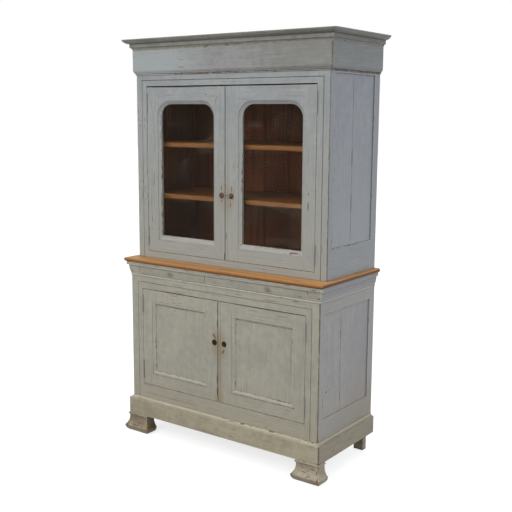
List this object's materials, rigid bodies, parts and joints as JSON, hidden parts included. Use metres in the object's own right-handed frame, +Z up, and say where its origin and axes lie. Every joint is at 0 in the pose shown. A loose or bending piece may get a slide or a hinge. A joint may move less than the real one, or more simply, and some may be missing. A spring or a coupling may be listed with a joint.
{
  "type": "two-part buffet",
  "caption": "Tall two-part buffet: a glazed cupboard with shelves under a deep cornice, on a panelled base with frieze drawers, a wooden counter and flared feet.",
  "frame": {"origin": "on the floor, in the middle of the rectangle the buffet fills in plan", "axes": "+Z up, -Y towards the person who opens the doors, +Y towards the wall"},
  "size_m": [1.32, 0.57, 2.15],
  "materials": {
    "paint_upper": "worn matt grey paint",
    "paint_lower": "worn matt warm grey paint",
    "paint_cornice": "darker worn paint",
    "pine": "waxed pine, satin",
    "bare_wood": "old unpainted wood",
    "glass": "old clear window glass",
    "painted_iron": "iron painted over with the frame",
    "iron": "brown rusty iron"
  },
  "bodies": {
    "base": {"base_side_left": "paint_lower", "base_side_right": "paint_lower", "base_side_panels": "paint_lower", "base_rails": "paint_lower", "rear_legs": "paint_lower", "base_floor": "bare_wood", "base_back": "bare_wood", "base_shelf": "bare_wood", "plinth": "paint_lower", "front_foot_left": "paint_lower", "front_foot_right": "paint_lower", "band_moulding": "paint_lower", "band_bead": "paint_lower", "drawer_runners": "bare_wood", "counter_top": "pine", "locating_pegs": "bare_wood", "base_hinge_leaves_and_pins": "painted_iron"},
    "cupboard": {"upper_side_left": "paint_upper", "upper_side_right": "paint_upper", "upper_side_panels": "paint_upper", "upper_rails": "paint_upper", "upper_boards": "bare_wood", "upper_back": "bare_wood", "upper_shelves": "bare_wood", "frieze": "paint_upper", "cornice_moulding": "paint_upper", "cornice_board": "paint_cornice", "upper_hinge_leaves_and_pins": "painted_iron"},
    "upper_door_left": {"upper_door_left_frame": "paint_upper", "upper_door_left_glass": "glass", "upper_door_left_bead": "paint_upper", "upper_door_left_leaves": "painted_iron", "upper_door_left_ironwork": "iron"},
    "upper_door_right": {"upper_door_right_frame": "paint_upper", "upper_door_right_glass": "glass", "upper_door_right_bead": "paint_upper", "upper_door_right_leaves": "painted_iron", "upper_escutcheon_right": "iron", "upper_lock_case": "iron"},
    "base_door_left": {"base_door_left_frame": "paint_lower", "base_door_left_panel": "paint_lower", "base_door_left_moulding": "paint_lower", "base_door_left_leaves": "painted_iron", "base_door_left_ironwork": "iron"},
    "base_door_right": {"base_door_right_frame": "paint_lower", "base_door_right_panel": "paint_lower", "base_door_right_moulding": "paint_lower", "base_door_right_leaves": "painted_iron", "base_escutcheon_right": "iron", "base_lock_case": "iron"},
    "drawer_left": {"drawer_left_front": "paint_lower", "drawer_left_box": "bare_wood"},
    "drawer_right": {"drawer_right_front": "paint_lower", "drawer_right_box": "bare_wood"},
    "upper_key": {"upper_key": "iron"},
    "upper_lock_bolt": {"upper_lock_bolt": "iron"},
    "base_lock_bolt": {"base_lock_bolt": "iron"},
    "upper_slide_bolt": {"upper_slide_bolt": "iron"},
    "base_slide_bolt": {"base_slide_bolt": "iron"}
  },
  "joints": [
    {"name": "upper_lift", "type": "slide", "parent": "base", "child": "cupboard", "axis": [0, 0, 1], "range_m": [0, 0.1]},
    {"name": "upper_door_left_hinge", "type": "hinge", "parent": "cupboard", "child": "upper_door_left", "pos_m": [-0.534, -0.1908, 1.465], "axis": [0, 0, -1], "range_deg": [0, 165]},
    {"name": "upper_door_right_hinge", "type": "hinge", "parent": "cupboard", "child": "upper_door_right", "pos_m": [0.534, -0.1908, 1.465], "axis": [0, 0, 1], "range_deg": [0, 165]},
    {"name": "base_door_left_hinge", "type": "hinge", "parent": "base", "child": "base_door_left", "pos_m": [-0.529, -0.2508, 0.5535], "axis": [0, 0, -1], "range_deg": [0, 165]},
    {"name": "base_door_right_hinge", "type": "hinge", "parent": "base", "child": "base_door_right", "pos_m": [0.529, -0.2508, 0.5535], "axis": [0, 0, 1], "range_deg": [0, 165]},
    {"name": "drawer_left_slide", "type": "slide", "parent": "base", "child": "drawer_left", "axis": [0, -1, 0], "range_m": [0, 0.32]},
    {"name": "drawer_right_slide", "type": "slide", "parent": "base", "child": "drawer_right", "axis": [0, -1, 0], "range_m": [0, 0.32]},
    {"name": "upper_key_turn", "type": "hinge", "parent": "upper_door_right", "child": "upper_key", "pos_m": [0.036, -0.2, 1.357], "axis": [0, -1, 0], "range_deg": [-2, 92]},
    {"name": "upper_lock_bolt_slide", "type": "slide", "parent": "upper_door_right", "child": "upper_lock_bolt", "axis": [-1, 0, 0], "range_m": [0, 0.011]},
    {"name": "base_lock_bolt_slide", "type": "slide", "parent": "base_door_right", "child": "base_lock_bolt", "axis": [-1, 0, 0], "range_m": [0, 0.011]},
    {"name": "upper_slide_bolt_slide", "type": "slide", "parent": "upper_door_left", "child": "upper_slide_bolt", "axis": [0, 0, 1], "range_m": [0, 0.022]},
    {"name": "base_slide_bolt_slide", "type": "slide", "parent": "base_door_left", "child": "base_slide_bolt", "axis": [0, 0, 1], "range_m": [0, 0.022]}
  ],
  "couplings": [
    {"joint": "upper_key_turn", "follows": "upper_lock_bolt_slide", "rad_per_m": 142.79}
  ]
}
